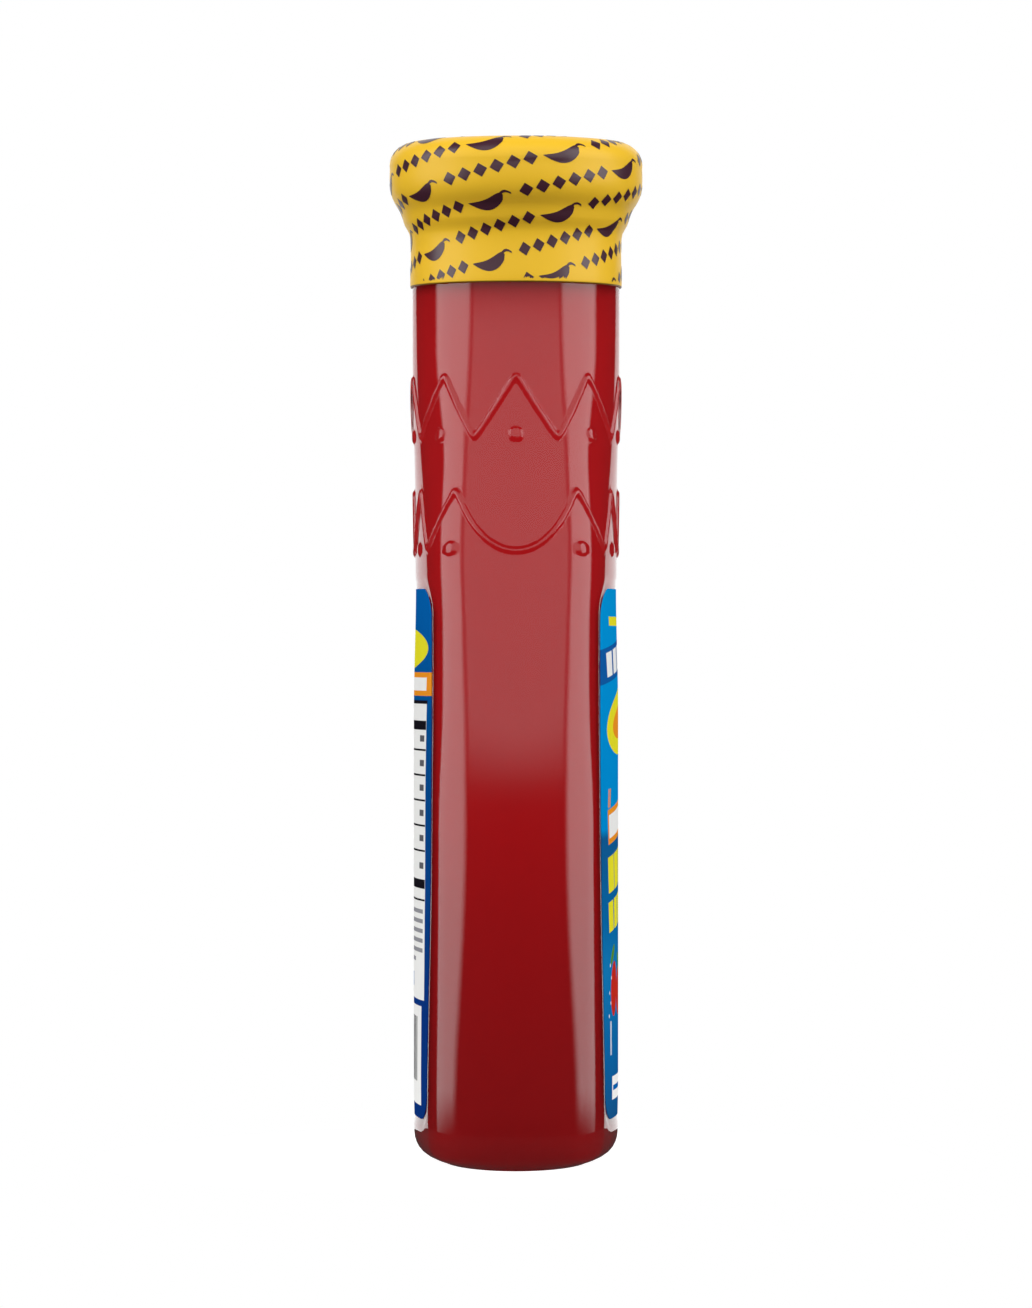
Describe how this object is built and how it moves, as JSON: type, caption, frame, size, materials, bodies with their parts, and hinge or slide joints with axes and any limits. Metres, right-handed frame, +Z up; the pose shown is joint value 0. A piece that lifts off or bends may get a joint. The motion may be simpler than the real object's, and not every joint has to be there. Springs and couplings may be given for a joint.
{
  "type": "bottle of taco sauce",
  "caption": "Flat-sided oval glass bottle filled with red taco sauce, round neck with raised zigzags, twist cap under a yellow shrink band, label front and back.",
  "frame": {"origin": "centre of the foot, on the plane the bottle stands on", "axes": "+Z up through the neck, X along the width, front label facing -Y"},
  "size_m": [0.064, 0.045, 0.18],
  "materials": {
    "glass": "clear, smooth",
    "sauce": "opaque red sauce, wet",
    "cap_lacquer": "yellow lacquer on tinplate",
    "band_film": "printed shrink film, satin",
    "label_front": "printed, satin varnish",
    "label_back": "printed, satin varnish"
  },
  "bodies": {
    "root": {"bottle": "glass", "sauce": "sauce", "cap": "cap_lacquer", "band": "band_film", "label_front": "label_front", "label_back": "label_back"}
  },
  "joints": []
}
